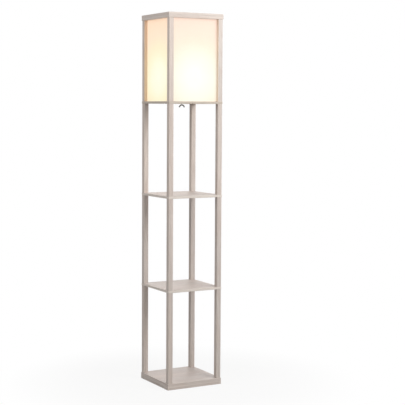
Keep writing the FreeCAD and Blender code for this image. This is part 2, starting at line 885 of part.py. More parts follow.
def screw_shell():
    """The brass shell that the bulb's cap screws into, flanged at its foot."""
    body = new_body("screw_shell")
    inner = size("bulb_cap_radius") + size("bulb_gap")
    outer = inner + size("screw_shell_wall")
    high = size("screw_shell_height")
    prism(body, TURNED_SIDES, outer + size("screw_shell_flange"), 0.0, size("screw_shell_wall"))
    prism(body, TURNED_SIDES, outer, 0.0, high)
    bore_down(body, TURNED_SIDES, inner, high, high)
    place(body, z=core_top)


def centre_contact():
    """The brass tongue under the bulb's tip: a strip bent up at its free end."""
    body = new_body("centre_contact")
    sketch = new_sketch(body, "XZ_Plane")
    thin = size("contact_sheet")
    reach = size("contact_length")
    rise = size("contact_rise")
    tip = size("contact_tip")
    outline(sketch, [(-reach, 0.0), (-reach / 2, 0.0), (0.0, rise - thin), (tip, rise - thin),
                     (tip, rise), (-thin, rise), (-reach / 2 - thin, thin), (-reach, thin)])
    pad(body, sketch, size("contact_width"), midplane=True)
    place(body, z=core_top - size("core_thick") + size("core_well_floor"))


def holder_shell():
    """The holder's outer shell: a plain skirt over the cup's rim with a bevelled mouth."""
    body = new_body("holder_shell")
    outer = size("holder_radius")
    wall = size("holder_wall")
    high = size("shell_height")
    prism(body, TURNED_SIDES, outer, 0.0, high)
    bevel(body, high, wall)
    bore_down(body, TURNED_SIDES, outer - wall, high - wall, high - wall)
    mouth = (size("bulb_cap_radius") + size("bulb_gap") + size("screw_shell_wall")
             + size("shell_gap"))
    bore_down(body, TURNED_SIDES, mouth, high, wall)
    place(body, z=cup_top)


# ---- bulb -------------------------------------------------------------------------------------
def bulb_cap():
    """The bulb's metal screw cap, drawn in at its foot to the tip contact."""
    body = new_body("bulb_cap")
    radius = size("bulb_cap_radius")
    tip = size("tip_radius")
    foot = size("tip_thick")
    prism(body, TURNED_SIDES, radius, foot, size("bulb_cap_height"))
    bevel(body, foot, radius - tip - size("tip_ledge"))
    prism(body, TURNED_SIDES, tip, 0.0, foot)
    bevel(body, as_size(0.0), size("tip_bevel"))
    place(body, z=bulb_tip_bottom)


def bulb_body():
    """The bulb's flared plastic body."""
    body = new_body("bulb_body")
    neck = size("neck_radius")
    wide = size("body_radius")
    high = size("body_height")
    bottom = high - size("rim_height") - (wide - neck)
    prism(body, TURNED_SIDES, wide, bottom, high - bottom)
    bevel(body, bottom, wide - neck)
    prism(body, TURNED_SIDES, neck, 0.0, bottom)
    place(body, z=bulb_body_bottom)


def bulb_globe():
    """The bulb's opal globe: a hollow dome on the body's rim, bevelled in four rings."""
    body = new_body("bulb_globe")
    outer = size("globe_radius")
    rim = size("body_radius")
    wall = size("globe_wall")
    rise = leg(outer, rim)
    high = rise + outer
    prism(body, TURNED_SIDES, outer, 0.0, high)
    bevel(body, as_size(0.0), outer - rim)
    bevel(body, high, outer * FIRST_BEVEL)
    bevel(body, high, outer * SECOND_BEVEL)
    bevel(body, high - outer * FIRST_BEVEL, outer * SECOND_BEVEL)
    bore_down(body, TURNED_SIDES, rim - wall * 2, rise + outer / 2, rise + outer / 2)
    place(body, z=globe_bottom)


# ---- pull switch ------------------------------------------------------------------------------
pivot_height = bar_top + size("switch_wall") + size("arm_pivot_height")
arm_angle = size("arm_rest_angle").number
arm_sine = math.sin(math.radians(arm_angle))
arm_cosine = math.cos(math.radians(arm_angle))


def switch_housing():
    """The switch's moulded box: bevelled corners, an open top, a neck hole and pin holes."""
    body = new_body("switch_housing")
    sketch = new_sketch(body)
    left = -size("switch_left")
    right = size("switch_right")
    half = size("switch_width") / 2
    wall = size("switch_wall")
    high = size("switch_height")
    box_outline(sketch, left, -half, right, half)
    pad(body, sketch, high)
    dress(body, "Chamfer", wall, lambda middle, edge: runs_along(edge, UP))
    hollow = new_sketch(body, height=high)
    box_outline(hollow, left + wall, -half + wall, right - wall, half - wall)
    pocket(body, hollow, high - wall)
    floor_hole = new_sketch(body, height=wall)
    circle(floor_hole, size("neck_tube_radius") + size("thread_gap"))
    pocket(body, floor_hole, wall)
    pin_holes = new_sketch(body, "XZ_Plane")
    circle(pin_holes, size("pin_radius") + size("pin_gap") / 5,
           -size("arm_pivot_offset"), wall + size("arm_pivot_height"))
    pocket(body, pin_holes, size("switch_width") + 2, through=True)
    place(body, z=bar_top)


def switch_cover():
    """The switch's lid, with a lip that fits inside the walls."""
    body = new_body("switch_cover")
    left = -size("switch_left")
    right = size("switch_right")
    half = size("switch_width") / 2
    wall = size("switch_wall")
    thick = size("cover_thick")
    gap = size("hole_gap")
    plate = new_sketch(body)
    box_outline(plate, left, -half, right, half)
    pad(body, plate, thick)
    dress(body, "Fillet", wall, lambda middle, edge: runs_along(edge, UP))
    lip = new_sketch(body, height=-thick / 2)
    box_outline(lip, left + wall + gap, -half + wall + gap, right - wall - gap, half - wall - gap)
    pad(body, lip, thick / 2)
    hollow = new_sketch(body, height=-thick / 2)
    inset = wall + gap + wall / 2
    box_outline(hollow, left + inset, -half + inset, right - inset, half - inset)
    pocket(body, hollow, thick / 2, upward=True)
    place(body, z=bar_top + size("switch_height"))


def switch_neck():
    """The threaded tube that the chain leaves by, flanged inside and bevelled at its mouth."""
    body = new_body("switch_neck")
    top = size("switch_wall")
    low = -size("bar_thick") - size("neck_tube_below")
    flange_top = top + size("neck_flange_thick")
    prism(body, TURNED_SIDES, size("neck_tube_radius"), low, top - low)
    prism(body, TURNED_SIDES, size("neck_flange_radius"), top, size("neck_flange_thick"))
    bore_down(body, HEAD_SIDES, size("neck_tube_bore"), flange_top, flange_top - low)
    bevel(body, low, size("mouth_bevel"))
    place(body, z=bar_top)


def switch_arm():
    """The arm that the chain pulls: a boss on the pin, a forked tip and a tail for the spring."""
    body = new_body("switch_arm")
    sketch = new_sketch(body, "XZ_Plane")
    half = size("arm_thick") / 2
    boss = size("arm_boss_radius")
    near = leg(boss, half)
    outline(sketch, [(-size("arm_tail"), -half), (-near, -half, 0.0, 0.0, 1), (near, -half),
                     (size("arm_tip"), -half), (size("arm_tip"), half),
                     (near, half, 0.0, 0.0, 1), (-near, half), (-size("arm_tail"), half)])
    circle(sketch, size("pin_radius") + size("pin_gap"))
    pad(body, sketch, size("arm_width"), midplane=True)
    slot = new_sketch(body, height=half)
    start = size("arm_pivot_offset") - size("bead_radius")
    box_outline(slot, start, -size("fork_slot") / 2, size("arm_tip") + 1, size("fork_slot") / 2)
    pocket(body, slot, size("arm_thick"))
    place(body, -size("arm_pivot_offset"), 0.0, pivot_height, -arm_angle, V(0, 1, 0))


def arm_pin():
    """The steel pin across the housing that the arm turns on."""
    body = new_body("arm_pin")
    sketch = new_sketch(body, "XZ_Plane")
    circle(sketch, size("pin_radius"))
    pad(body, sketch, size("switch_width"), midplane=True)
    place(body, -size("arm_pivot_offset"), 0.0, pivot_height)


def arm_spring():
    """The return spring between the arm's tail and the cover's lip, as a sleeve of its wire."""
    body = new_body("arm_spring")
    sketch = new_sketch(body)
    circle(sketch, size("spring_radius"))
    circle(sketch, size("spring_radius") - size("spring_wire"))
    top = bar_top + size("switch_height") - size("cover_thick") / 2
    bottom = pivot_height + size("spring_gap")
    reach = (size("arm_tail") - size("spring_radius")) * arm_cosine
    lean = size("arm_thick") / 2 * arm_sine
    pad(body, sketch, top - bottom)
    place(body, -size("arm_pivot_offset") - reach - lean, 0.0, bottom)


def contact_blades():
    """The two brass blades beside the arm's tip, standing on the floor against the end wall."""
    body = new_body("contact_blades")
    sketch = new_sketch(body, "XZ_Plane")
    thin = size("blade_sheet")
    high = size("blade_height")
    back = size("switch_right") - size("switch_wall")
    lean = size("blade_lean")
    outline(sketch, [(back - thin, 0.0), (back, 0.0), (back, high), (back - lean, high + lean),
                     (back - lean - thin, high + lean - thin), (back - thin, high - thin)])
    inner = size("arm_width") / 2 - size("blade_sheet")
    pad(body, sketch, (inner + size("blade_width")) * 2, midplane=True)
    middle = new_sketch(body, height=high + lean + thin)
    box_outline(middle, back - lean - thin * 2, -inner, back + thin, inner)
    pocket(body, middle, high + lean + thin * 2)
    place(body, 0.0, 0.0, bar_top + size("switch_wall"))


# ---- chain and handle -------------------------------------------------------------------------
MIDDLE_BEADS = int(SIZES["middle_beads"])
top_bead = pivot_height + size("arm_pivot_offset") * arm_sine + size("bead_above_arm")
beads_high = size("bead_pitch") * (MIDDLE_BEADS - 1)
handle_ball = top_bead - size("top_link") - beads_high - size("ball_link")
handle_crown = handle_ball + size("ball_seat")


def pull_chain():
    """The bead chain from the arm's fork down through the neck to the ball in the handle."""
    body = new_body("pull_chain")
    ball = size("bead_radius")
    top = size("ball_link") + beads_high + size("top_link")
    prism(body, BEAD_SIDES, size("bead_link_radius"), 0.0, top)
    heights = [as_size(0.0), top]
    heights += [size("ball_link") + size("bead_pitch") * bead for bead in range(MIDDLE_BEADS)]
    for height in heights:
        prism(body, BEAD_SIDES, ball, height - ball, ball * 2)
    dress(body, "Chamfer", size("bead_bevel"),
          lambda middle, edge: not runs_along(edge, UP)
          and math.hypot(middle.x, middle.y) > size("bead_link_radius").number * 2)
    place(body, z=handle_ball)


def pull_handle():
    """The pull: a half ring of eight-sided bar. Its crown has a socket that the chain's last
    ball hangs in, flared upwards so that the ring can swing."""
    body = new_body("pull_handle")
    ring = size("handle_radius")
    section = size("handle_section")
    sketch = new_sketch(body, "XZ_Plane")
    outer = facets(0.0, 0.0, ring + section, -HALF_SWEEP, HALF_SWEEP, RING_STEPS)
    inner = facets(0.0, 0.0, ring - section, HALF_SWEEP, -HALF_SWEEP, RING_STEPS)
    outline(sketch, outer + inner)
    pad(body, sketch, section * 2, midplane=True)
    dress(body, "Chamfer", size("handle_bevel"),
          lambda middle, edge: abs(abs(middle.y) - section.number) < 0.001)
    ball = ring - size("ball_seat")
    roomy = size("bead_radius") + size("socket_gap")
    shut = ball + roomy
    socket = new_sketch(body)
    under = ring - size("socket_reach")
    over = ring + size("socket_reach")
    outline(socket, [(under, 0.0), (over, 0.0), (over, size("socket_flare")),
                     (ring + size("flare_from_bar"), size("socket_flare")),
                     (shut, size("socket_waist")), (shut, roomy), (under, roomy)])
    before = body.Shape.Volume
    cut = body.newObject("PartDesign::Groove", "pull_handle_socket")
    cut.Profile = socket
    cut.ReferenceAxis = (origin_part(body, "X_Axis"), [""])
    cut.Angle = 360.0
    doc.recompute()
    if not body.Shape.Volume < before - 1e-6:
        raise RuntimeError("the handle's socket cut nothing")
    place(body, 0.0, 0.0, handle_crown - ring, -90.0, V(0, 1, 0))


for maker in (felt_pads, base_strips, base_board, base_screws, posts, post_studs):
    maker()
corner_board("lower_shelf", lower_shelf_bottom, size("shelf_thick"))
corner_board("upper_shelf", upper_shelf_bottom, size("shelf_thick"))
for maker in (shade_floor_frame, cord_grommet, cap_rails, cap_dowels, shade_panels,
              crossbar, bar_screws, hat_bracket, holder_nipple):
    maker()
hex_nuts("nipple_nuts", (hat_top - size("hat_sheet") - size("nut_thick"),
                         hat_top + size("holder_wall") * 2), size("nipple_radius"))
hex_nuts("neck_nut", (floor_top - size("nut_thick"),), size("neck_tube_radius"))
for maker in (holder_cup, holder_core, screw_shell, centre_contact, holder_shell,
              bulb_cap, bulb_body, bulb_globe, switch_housing, switch_cover, switch_neck,
              switch_arm, arm_pin, arm_spring, contact_blades, pull_chain, pull_handle):
    maker()

doc.recompute()
for thing in doc.Objects:
    if "Invalid" in thing.State or "Error" in thing.State:
        raise RuntimeError("%s is in state %s" % (thing.Name, thing.State))
for body in subparts:
    if body.Shape.isNull() or not body.Shape.isValid():
        raise RuntimeError(body.Label + " has no valid shape")
for body in subparts:
    body.Shape.exportStep("parts/%s.step" % body.Label)
    print(body.Label, len(body.Shape.Solids), round(body.Shape.Volume, 1))
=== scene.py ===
"""Shelf floor lamp: finishes, cloth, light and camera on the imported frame. Lengths are metres."""
import math

import bmesh
import bpy
from mathutils import Matrix, Vector


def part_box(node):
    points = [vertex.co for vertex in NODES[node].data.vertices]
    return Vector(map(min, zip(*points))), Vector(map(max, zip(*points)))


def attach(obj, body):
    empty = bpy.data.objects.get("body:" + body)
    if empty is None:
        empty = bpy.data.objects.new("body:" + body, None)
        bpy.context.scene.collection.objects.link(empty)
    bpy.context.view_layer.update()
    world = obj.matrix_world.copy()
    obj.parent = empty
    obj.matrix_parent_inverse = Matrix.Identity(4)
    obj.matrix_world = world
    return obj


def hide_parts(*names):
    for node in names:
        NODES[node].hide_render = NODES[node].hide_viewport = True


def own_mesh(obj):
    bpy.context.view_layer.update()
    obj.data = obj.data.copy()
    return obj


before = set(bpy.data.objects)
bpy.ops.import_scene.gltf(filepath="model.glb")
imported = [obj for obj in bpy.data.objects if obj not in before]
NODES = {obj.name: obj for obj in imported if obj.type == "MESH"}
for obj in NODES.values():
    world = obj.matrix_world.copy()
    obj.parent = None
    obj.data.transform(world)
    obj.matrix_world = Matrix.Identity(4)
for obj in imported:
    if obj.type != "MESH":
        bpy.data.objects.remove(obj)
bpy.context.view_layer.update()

MM = 0.001
SHARP = math.radians(35)


# ---- shader wiring ----------------------------------------------------------------------------
class Wire:
    """One socket of a finish. Python's operators on it add Math nodes."""

    def __init__(self, finish, socket):
        self.finish = finish
        self.socket = socket

    def maths(self, operation, *values):
        return self.finish.node("ShaderNodeMath", {"operation": operation}, dict(enumerate(values)))

    def __add__(self, other):
        return self.maths("ADD", self, other)

    __radd__ = __add__

    def __sub__(self, other):
        return self.maths("SUBTRACT", self, other)

    def __rsub__(self, other):
        return self.maths("SUBTRACT", other, self)

    def __mul__(self, other):
        return self.maths("MULTIPLY", self, other)

    __rmul__ = __mul__

    def __gt__(self, other):
        return self.maths("GREATER_THAN", self, other)

    def __abs__(self):
        return self.maths("ABSOLUTE", self)

    def sine(self):
        return self.maths("SINE", self)

    def least(self, other):
        return self.maths("MINIMUM", self, other)

    def most(self, other):
        return self.maths("MAXIMUM", self, other)

    def fade(self, low, high, start=0.0, end=1.0):
        """A smooth change from start to end as the value goes from low to high."""
        return self.finish.node(
            "ShaderNodeMapRange", {"interpolation_type": "SMOOTHSTEP"},
            {"Value": self, "From Min": low, "From Max": high, "To Min": start, "To Max": end})


class Finish:
    """The node tree of a material or a world that is being wired."""

    def __init__(self, owner):
        self.owner = owner
        owner.use_nodes = True
        self.tree = owner.node_tree
        self.tree.nodes.clear()

    def node(self, kind, settings=None, sockets=None, output=0):
        """Add a node with its settings and its sockets' wires or values; one output comes back."""
        made = self.tree.nodes.new(kind)
        for key, value in (settings or {}).items():
            if key == "stops":
                set_stops(made.color_ramp, value)
            else:
                setattr(made, key, value)
        for key, value in (sockets or {}).items():
            if isinstance(value, Wire):
                self.tree.links.new(value.socket, made.inputs[key])
            else:
                made.inputs[key].default_value = value
        return Wire(self, made.outputs[output])

    def spot(self):
        """The point's place on the object."""
        return self.node("ShaderNodeTexCoord", output="Object")

    def split(self, vector):
        """The three parts of a vector."""
        outputs = self.node("ShaderNodeSeparateXYZ", {}, {0: vector}).socket.node.outputs
        return [Wire(self, socket) for socket in outputs]

    def joined(self, x, y, z):
        return self.node("ShaderNodeCombineXYZ", {}, {0: x, 1: y, 2: z})

    def stretched(self, vector, factors):
        return self.node("ShaderNodeMapping", {}, {"Vector": vector, "Scale": factors})

    def noise(self, vector, scale=1.0, detail=3.0, roughness=0.55, distortion=0.0):
        return self.node("ShaderNodeTexNoise", {},
                         {"Vector": vector, "Scale": scale, "Detail": detail,
                          "Roughness": roughness, "Distortion": distortion})

    def mixed(self, share, first, second, kind="MIX"):
        return self.node("ShaderNodeMix", {"data_type": "RGBA", "blend_type": kind},
                         {0: share, 6: first, 7: second}, 2)

    def ramp(self, value, stops):
        return self.node("ShaderNodeValToRGB", {"stops": stops}, {0: value})

    def bumped(self, height, depth, strength=0.5):
        return self.node("ShaderNodeBump", {},
                         {"Height": height, "Distance": depth, "Strength": strength})

    def done(self, **sockets):
        """Close the finish with a Principled shader; the words are its sockets' names."""
        named = {key.replace("_", " "): value for key, value in sockets.items()}
        return self.close(self.node("ShaderNodeBsdfPrincipled", {}, named))

    def close(self, shader, kind="ShaderNodeOutputMaterial"):
        """Wire a shader to the output, and give back what wears it."""
        self.tree.links.new(shader.socket, self.tree.nodes.new(kind).inputs["Surface"])
        return self.owner


def new_finish(name):
    return Finish(bpy.data.materials.new(name))


def set_stops(color_ramp, stops):
    """Give a colour ramp its (place, colour) stops."""
    elements = color_ramp.elements
    while len(elements) < len(stops):
        elements.new(1.0)
    for element, (place, colour) in zip(elements, stops):
        element.position = place
        element.color = colour


def paint(red, green, blue):
    """A colour that is given as it looks on screen, 0 to 255, for a shader."""
    shades = [value / 255 for value in (red, green, blue)]
    return [s / 12.92 if s <= 0.04045 else ((s + 0.055) / 1.055) ** 2.4 for s in shades] + [1.0]


# ---- finishes ---------------------------------------------------------------------------------
# Planes of the wood, which tell the oak where its edges, its bands and its storeys are.
STOREYS = (0.424, 0.824, 1.224)
STOREY_SHIFT = (0.37, 0.53, 0.71)
POST_INSIDE, POST_OUTSIDE = 0.107, 0.128
BOARD_RIMS = (-0.1295, 0.1295)
BOARD_FACES = (0.014, 0.029, 0.419, 0.429, 0.819, 0.829, 1.219, 1.229, 1.578, 1.600)
# heights between which the shelves' edge faces get a painted highlight
SHELVES_FROM, SHELVES_TO = 0.1, 1.0
ALONG = {"x": 0, "y": 1, "z": 2}
ACROSS = {"x": "y", "y": "x"}


def washed_oak(name, along, painted_light_share=0.0):
    """Oak with a thin grey-white wash: broad streaks, flame figure, fibres, open pores, and
    edges where the wash has rubbed pale, made paler still by a painted highlight, which covers the
    shelves' whole edge faces. A board's ends have an edge band with its own grain. A painted warm
    glow from the lit shade lies on the faces of the posts beside it, and a board can be mixed
    towards a darker, warmer colour of painted light and shade, as the shade's own floor is."""
    finish = new_finish(name)
    x, y, z = finish.split(finish.spot())
    is_post = along == "z"
    storey = (z > STOREYS[0]) + (z > STOREYS[1]) + (z > STOREYS[2])
    shifted = finish.joined(*(value + storey * shift
                              for value, shift in zip((x, y, z), STOREY_SHIFT)))
    if is_post:
        off_edge = off_post_side(x).most(off_post_side(y))
    else:
        off_x, off_y = nearest(x, BOARD_RIMS), nearest(y, BOARD_RIMS)
        off_side = off_x.least(off_y)
        off_edge = off_x.most(off_y).least(off_side.most(nearest(z, BOARD_FACES)))
        edge_band = (off_y if along == "y" else off_x).fade(0.8 * MM, 0.9 * MM, 1.0, 0.0)

    def run(axis, fine, coarse):
        factors = [fine] * 3
        factors[ALONG[axis]] = coarse
        return finish.stretched(shifted, factors)

    def grain(fine, coarse):
        """Coordinates that change fast across the grain and slowly along it."""
        if is_post:
            return run(along, fine, coarse)
        return finish.mixed(edge_band, run(along, fine, coarse), run(ACROSS[along], fine, coarse))

    cloud = finish.noise(grain(9, 1.3), detail=2)
    streak = finish.noise(grain(130, 3.2), detail=5, distortion=0.4)
    flame = (finish.noise(grain(11, 0.9), detail=2, distortion=0.5) * 95).sine()
    fibre = finish.noise(grain(950, 16), detail=4, roughness=0.6)
    pore = finish.noise(grain(2100, 70), detail=2).fade(0.60, 0.72)
    base = finish.mixed(cloud.fade(0.35, 0.65), paint(217, 203, 195), paint(210, 201, 196))
    grey = finish.mixed(streak.fade(0.36, 0.66) * 0.62, base, paint(188, 176, 170))
    pink = finish.mixed(flame.fade(0.1, 1.0) * 0.34, grey, paint(194, 175, 166))
    fibrous = finish.mixed(fibre.fade(0.35, 0.7) * 0.4, pink, paint(229, 220, 214))
    porous = finish.mixed(pore * 0.42, fibrous, paint(154, 138, 127))

    # painted highlight: every edge is made paler, partly rubbed-pale wear and partly the light that
    # the edges catch
    rub_and_painted_highlight = off_edge.fade(0.3 * MM, 1.3 * MM, 1.0, 0.0) * streak.fade(0.3, 0.6, 0.25, 0.7)
    if is_post:
        # painted glow: above the shade's floor, the inner faces of the posts are mixed towards a
        # warm colour, as if lit by the shade
        beside_x = nearest(abs(x), (POST_INSIDE,)).fade(0.1 * MM, 1.0 * MM, 0.3, 0.0)
        beside_y = nearest(abs(y), (POST_INSIDE,)).fade(0.1 * MM, 1.0 * MM, 0.5, 0.0)
        painted_light_share = (z > STOREYS[2]) * beside_x.most(beside_y)
        painted_light_colour = paint(255, 216, 172)
    else:
        # painted highlight: on the shelves only, the whole edge faces are made paler
        on_shelf = (z > SHELVES_FROM) - (z > SHELVES_TO)
        rub_and_painted_highlight = rub_and_painted_highlight.most(off_side.fade(0.6 * MM, 1.4 * MM, 0.6, 0.0) * on_shelf)
        # painted light and shade: the darker, warmer colour that the shade's floor board is mixed
        # towards
        painted_light_colour = paint(172, 161, 136)
    rubbed_and_painted_highlight = finish.mixed(rub_and_painted_highlight, porous, paint(236, 228, 220))
    height = fibre * 0.6 + streak * 0.25 - pore * 0.7
    return finish.done(Base_Color=finish.mixed(painted_light_share, rubbed_and_painted_highlight, painted_light_colour),
                       Roughness=fibre.fade(0.3, 0.7, 0.66, 0.5),
                       Normal=finish.bumped(height, 0.25 * MM, 0.55), Specular_IOR_Level=0.35)


def nearest(value, planes):
    """How far a coordinate is from the nearest of some planes."""
    best = abs(value - planes[0])
    for plane in planes[1:]:
        best = best.least(abs(value - plane))
    return best


def off_post_side(value):
    """How far a coordinate is from the planes of the posts' four sides."""
    return nearest(abs(value), (POST_INSIDE, POST_OUTSIDE))


# The painted glow of the lit cloth as it looks on screen, from the spot beside the bulb outwards.
BULB_MIDDLE = 1.329
GLOW_REACH = 0.26
WIDE_GLOW = ((0.13, (255, 255, 255)), (0.235, (255, 255, 250)), (0.35, (255, 255, 244)),
             (0.47, (255, 250, 236)), (0.59, (255, 243, 228)), (0.71, (255, 238, 225)),
             (1.0, (255, 232, 221)))
WARM_GLOW = ((0.0, (255, 255, 238)), (0.235, (255, 254, 231)), (0.35, (255, 250, 220)),
             (0.47, (255, 243, 212)), (0.71, (255, 232, 209)), (0.94, (255, 226, 202)))
THREAD_PITCH = 0.62 * MM
SLUB_FINE, SLUB_LONG = 1500, 22


def less_lamps(stops, lamps):
    """Take the lamps' own light on the cloth off, so that both together give the look."""
    return [(place, [max(0.0, value - lamps) for value in paint(*look)[:3]] + [1.0])
            for place, look in stops]


def shade_linen(name, glow, lamps):
    """The lit shade: plain-woven linen with slubs, and a painted glow brightest beside the bulb."""
    finish = new_finish(name)
    across, height, _ = finish.split(finish.node("ShaderNodeUVMap", {"uv_map": "cloth"}))

    def slub(wide, tall, layer):
        spot = finish.joined(across * wide, height * tall, layer)
        return finish.noise(spot, detail=2).fade(0.2, 0.8, 0.7, 1.15)

    warp = (across * (math.pi / THREAD_PITCH)).sine()
    weft = (height * (math.pi / THREAD_PITCH)).sine()
    over = (warp * weft).fade(-0.25, 0.25)
    thread = over * abs(warp) * slub(SLUB_FINE, SLUB_LONG, 0.0) \
        + (1 - over) * abs(weft) * slub(SLUB_LONG, SLUB_FINE, 3.0)
    cloud = finish.noise(finish.joined(across * 9, height * 9, 0.0), detail=2)
    from_bulb = height - BULB_MIDDLE
    away = finish.node("ShaderNodeMath", {"operation": "SQRT"},
                       {0: across * across + from_bulb * from_bulb}) * (1 / GLOW_REACH)
    # painted glow: the emission's colour fades with distance from the bulb's middle, less the
    # lamps' own light
    light = finish.ramp(away, less_lamps(glow, lamps))
    grey = thread.fade(0.1, 0.9, 0.95, 1.01) * cloud.fade(0.3, 0.7, 0.985, 1.01)
    painted_glow = finish.mixed(1.0, light, finish.joined(grey, grey, grey), "MULTIPLY")
    cloth = finish.mixed(thread.fade(0.0, 0.8), paint(128, 122, 112), paint(152, 146, 136))
    return finish.done(Base_Color=cloth, Roughness=0.85, Emission_Color=painted_glow,
                       Emission_Strength=1.0, Sheen_Weight=0.15,
                       Normal=finish.bumped(thread, 0.12 * MM, 0.5))


def metal(name, light, dark, rough, along=None):
    """A plated or drawn metal: cloudy tone and fine drawing lines."""
    finish = new_finish(name)
    factors = [420.0] * 3
    if along is not None:
        factors[ALONG[along]] = 14.0
    lines = finish.noise(finish.stretched(finish.spot(), factors), detail=4)
    cloud = finish.noise(finish.spot(), scale=130.0, detail=3)
    colour = finish.mixed(cloud.fade(0.35, 0.68), light, dark)
    return finish.done(Base_Color=colour, Metallic=1.0,
                       Roughness=lines * 0.22 + (rough - 0.11),
                       Normal=finish.bumped(lines, 0.05 * MM, 0.25))


def moulded(name, light, dark, rough, grain=2600.0):
    """A moulded plastic or rubber: fine spark grain and faint flow clouds."""
    finish = new_finish(name)
    spark = finish.noise(finish.spot(), scale=grain, detail=2)
    cloud = finish.noise(finish.spot(), scale=160.0, detail=3, distortion=0.8)
    colour = finish.mixed(cloud.fade(0.3, 0.7), light, dark)
    return finish.done(Base_Color=colour, Roughness=spark * 0.2 + (rough - 0.1),
                       Normal=finish.bumped(spark, 0.04 * MM, 0.3))


def felt():
    """Pressed wool felt: short fibres that lie every way."""
    finish = new_finish("felt")
    spot = finish.spot()
    one = finish.noise(finish.stretched(spot, (900, 5200, 2600)), detail=3, distortion=1.2)
    two = finish.noise(finish.stretched(spot, (5200, 900, 2600)), detail=3, distortion=1.2)
    fibre = one.most(two)
    colour = finish.mixed(fibre.fade(0.4, 0.75), paint(82, 76, 70), paint(128, 120, 111))
    return finish.done(Base_Color=colour, Roughness=0.95, Sheen_Weight=0.3,
                       Normal=finish.bumped(fibre, 0.3 * MM, 0.7))


GLOBE_FOOT, GLOBE_CROWN = 1.339, 1.384


def opal():
    """The bulb's opal globe, lit: brightest at its crown."""
    finish = new_finish("bulb_opal")
    _, _, z = finish.split(finish.spot())
    cloud = finish.noise(finish.spot(), scale=90.0, detail=2)
    glow = finish.ramp(z.fade(GLOBE_FOOT, GLOBE_CROWN),
                       [(0.0, paint(244, 214, 170)), (0.35, paint(255, 240, 208)),
                        (1.0, paint(255, 249, 232))])
    colour = finish.mixed(cloud.fade(0.3, 0.7), paint(236, 234, 228), paint(242, 240, 234))
    return finish.done(Base_Color=colour, Roughness=0.35, Emission_Color=glow,
                       Emission_Strength=1.4)


FINISHES = {
    "oak_x": washed_oak("washed_oak_x", "x"),
    "oak_y": washed_oak("washed_oak_y", "y"),
    "oak_z": washed_oak("washed_oak_z", "z"),
    # the shade's floor board: a copy of the oak with painted light and shade, darker and warmer
    "oak_lit": washed_oak("washed_oak_painted_light", "x", 0.35),
    # painted glow: each side of the shade has its own copy of the cloth, with its own share of lamp
    # light taken off and a warmer glow on the sides
    "shade_linen": shade_linen("shade_linen", WIDE_GLOW, 0.26),
    "linen_back": shade_linen("shade_linen_back", WIDE_GLOW, 0.14),
    "linen_left": shade_linen("shade_linen_left", WARM_GLOW, 0.15),
    "linen_right": shade_linen("shade_linen_right", WARM_GLOW, 0.15),
    "felt": felt(),
    "zinc_steel": metal("zinc_steel", paint(188, 190, 192), paint(170, 173, 177), 0.38, "x"),
    "dowel_beech": washed_oak("dowel_beech", "z"),
    "brass": metal("brass", paint(206, 172, 108), paint(168, 134, 78), 0.32, "z"),
    "cap_metal": metal("cap_metal", paint(196, 196, 194), paint(166, 167, 168), 0.26),
    "spring_steel": metal("spring_steel", paint(176, 178, 182), paint(128, 130, 136), 0.3),
    "chain_steel": metal("chain_steel", paint(196, 198, 202), paint(150, 152, 158), 0.24),
    "holder_plastic": moulded("holder_plastic", paint(38, 37, 36), paint(30, 29, 29), 0.42),
    "grommet_rubber": moulded("grommet_rubber", paint(46, 45, 44), paint(34, 33, 33), 0.68),
    "ceramic": moulded("ceramic", paint(232, 229, 221), paint(222, 218, 208), 0.3, 900.0),
    "bulb_plastic": moulded("bulb_plastic", paint(232, 231, 228), paint(226, 225, 222), 0.36),
    "handle_grey": moulded("handle_grey", paint(92, 87, 81), paint(80, 75, 70), 0.5),
    "bulb_opal": opal(),
}


def dress_nodes():
    """Give every CAD node the finish that its slot names, with the grain along its run."""
    across_side = ("cap_rail_left", "cap_rail_right", "base_strip_left", "base_strip_right")
    for name, node in NODES.items():
        slot = node.material_slots[0].material.name.split(".")[0]
        if slot == "oak":
            turn = "z" if name.startswith("post_") else "y" if name in across_side else "x"
            # the shade's floor frame wears the copy of the oak with painted light and shade
            slot = "oak_lit" if name == "shade_floor_frame" else "oak_" + turn
        for entry in node.material_slots:
            entry.material = FINISHES[slot]


# ---- pieces -----------------------------------------------------------------------------------
def add_piece(name, mesh, slot, body, stands_for, finish=None):
    """Put a mesh into the scene as a piece that rides on a body, in its slot's finish or in
    the one that is named."""
    mesh.name = name
    mesh.validate()
    mesh.shade_smooth()
    mesh.set_sharp_from_angle(angle=SHARP)
    mesh.materials.clear()
    mesh.materials.append(FINISHES[finish or slot])
    piece = bpy.data.objects.new(name, mesh)
    bpy.context.scene.collection.objects.link(piece)
    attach(piece, body)
    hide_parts(stands_for)
    return piece


def from_faces(points, faces):
    """A mesh from its points and its faces."""
    mesh = bpy.data.meshes.new("piece")
    mesh.from_pydata(points, [], faces)
    mesh.update()
    return mesh


def turned(profile, steps=72, radius_change=None):
    """A turned solid: (radius, height) points from the foot's centre to the top's centre, or a
    closed ring of them for a hollow piece. radius_change(angle, height) adds to the radius."""
    points, rows = [], []
    for radius, height in profile:
        if radius == 0.0:
            rows.append([len(points)] * steps)
            points.append((0.0, 0.0, height))
            continue
        row = []
        for step in range(steps):
            angle = 2 * math.pi * step / steps
            wide = radius + (radius_change(angle, height) if radius_change else 0.0)
            row.append(len(points))
            points.append((wide * math.cos(angle), wide * math.sin(angle), height))
        rows.append(row)
    if profile[0][0] > 0.0:
        rows.append(rows[0])
    faces = []
    for low, high in zip(rows, rows[1:]):
        for step in range(steps):
            after = (step + 1) % steps
            face = [low[step], low[after], high[after], high[step]]
            whole = list(dict.fromkeys(face))
            if len(whole) > 2:
                faces.append(whole)
    return from_faces(points, faces)


def joined_meshes(*meshes):
    """Several meshes in one."""
    whole = bmesh.new()
    for mesh in meshes:
        whole.from_mesh(mesh)
    result = bpy.data.meshes.new("piece")
    whole.to_mesh(result)
    whole.free()
    return result


